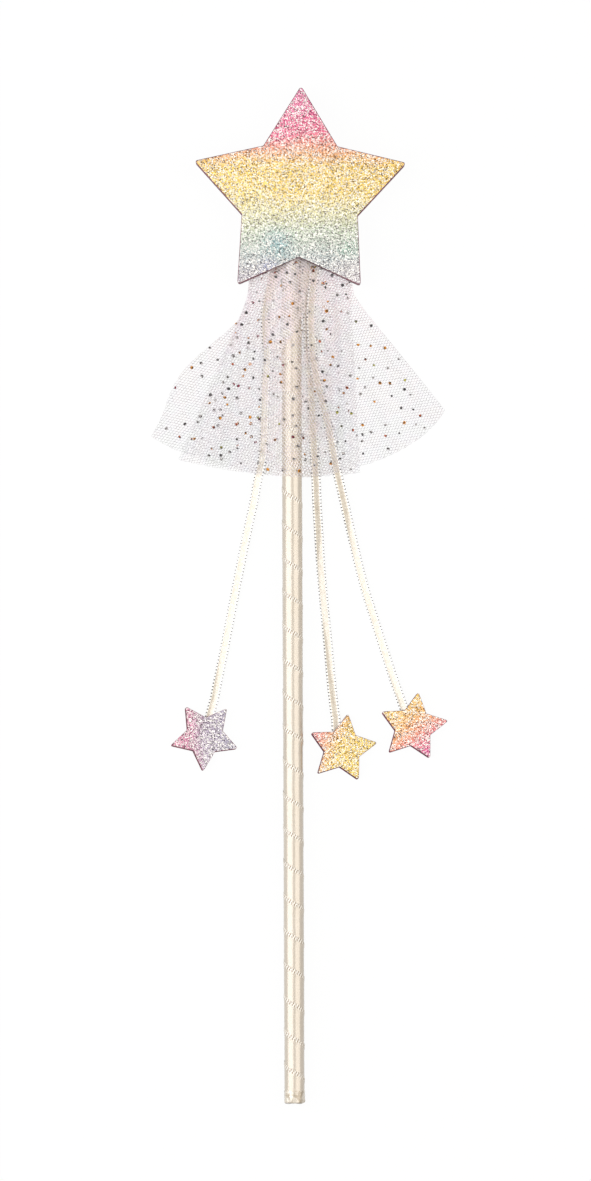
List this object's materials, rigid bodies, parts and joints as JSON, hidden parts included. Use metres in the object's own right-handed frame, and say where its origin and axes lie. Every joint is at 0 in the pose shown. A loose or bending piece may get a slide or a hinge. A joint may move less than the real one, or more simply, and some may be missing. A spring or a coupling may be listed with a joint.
{
  "type": "toy magic wand",
  "caption": "Toy magic wand: satin-wrapped stick with a padded glitter star, a dotted tulle skirt and loose ribbons that end in small star charms.",
  "frame": {"origin": "on the stick's axis, at the lower end of the wrapped handle, just above the folded foot", "axes": "+Y along the stick towards the star, +Z out of the star's front, +X to the right when the front is seen with the star up. The wand lies on its back."},
  "size_m": [0.0986, 0.3384, 0.01],
  "materials": {
    "wood": "bare turned dowel",
    "wrap_satin": "ivory satin ribbon, wound and overlapping",
    "star_foam": "soft craft foam with dark cut edges",
    "star_glitter": "fine glitter shading from pink through yellow and mint to lilac",
    "tulle": "white hexagonal net with scattered metallic dots",
    "ribbon_satin": "narrow ivory satin ribbon with woven edges",
    "left_charm_glitter": "fine glitter, pink to lilac grey",
    "middle_charm_glitter": "fine glitter, peach to yellow",
    "right_charm_glitter": "fine glitter, yellow to pink"
  },
  "bodies": {
    "wand": {"dowel": "wood", "satin_wrap": "wrap_satin", "wrap_lap": "wrap_satin", "foot_fold": "wrap_satin", "star_front_foam": "star_foam", "star_back_foam": "star_foam", "star_front_glitter": "star_glitter", "star_back_glitter": "star_glitter", "skirt_front": "tulle", "skirt_back": "tulle", "left_ribbon_top": "ribbon_satin", "middle_ribbon_top": "ribbon_satin", "right_ribbon_top": "ribbon_satin"},
    "left_pendant": {"left_ribbon_tail": "ribbon_satin"},
    "left_charm": {"left_ribbon_tip": "ribbon_satin", "left_charm_front": "left_charm_glitter", "left_charm_back": "left_charm_glitter"},
    "middle_pendant": {"middle_ribbon_tail": "ribbon_satin"},
    "middle_charm": {"middle_ribbon_tip": "ribbon_satin", "middle_charm_front": "middle_charm_glitter", "middle_charm_back": "middle_charm_glitter"},
    "right_pendant": {"right_ribbon_tail": "ribbon_satin"},
    "right_charm": {"right_ribbon_tip": "ribbon_satin", "right_charm_front": "right_charm_glitter", "right_charm_back": "right_charm_glitter"}
  },
  "joints": [
    {"name": "left_ribbon_swing", "type": "hinge", "parent": "wand", "child": "left_pendant", "pos_m": [-0.01178, 0.2019, -0.00266], "axis": [-1, 0, 0], "range_deg": [0, 110]},
    {"name": "left_charm_flip", "type": "hinge", "parent": "left_pendant", "child": "left_charm", "pos_m": [-0.0267, 0.1289, -0.0029], "axis": [-1, 0, 0], "range_deg": [0, 110]},
    {"name": "middle_ribbon_swing", "type": "hinge", "parent": "wand", "child": "middle_pendant", "pos_m": [0.00806, 0.2019, -0.00266], "axis": [-1, 0, 0], "range_deg": [0, 110]},
    {"name": "middle_charm_flip", "type": "hinge", "parent": "middle_pendant", "child": "middle_charm", "pos_m": [0.01423, 0.1239, -0.0029], "axis": [-1, 0, 0], "range_deg": [0, 110]},
    {"name": "right_ribbon_swing", "type": "hinge", "parent": "wand", "child": "right_pendant", "pos_m": [0.01604, 0.2019, -0.00274], "axis": [-1, 0, 0], "range_deg": [0, 110]},
    {"name": "right_charm_flip", "type": "hinge", "parent": "right_pendant", "child": "right_charm", "pos_m": [0.03573, 0.1309, -0.0029], "axis": [-1, 0, 0], "range_deg": [0, 110]}
  ]
}
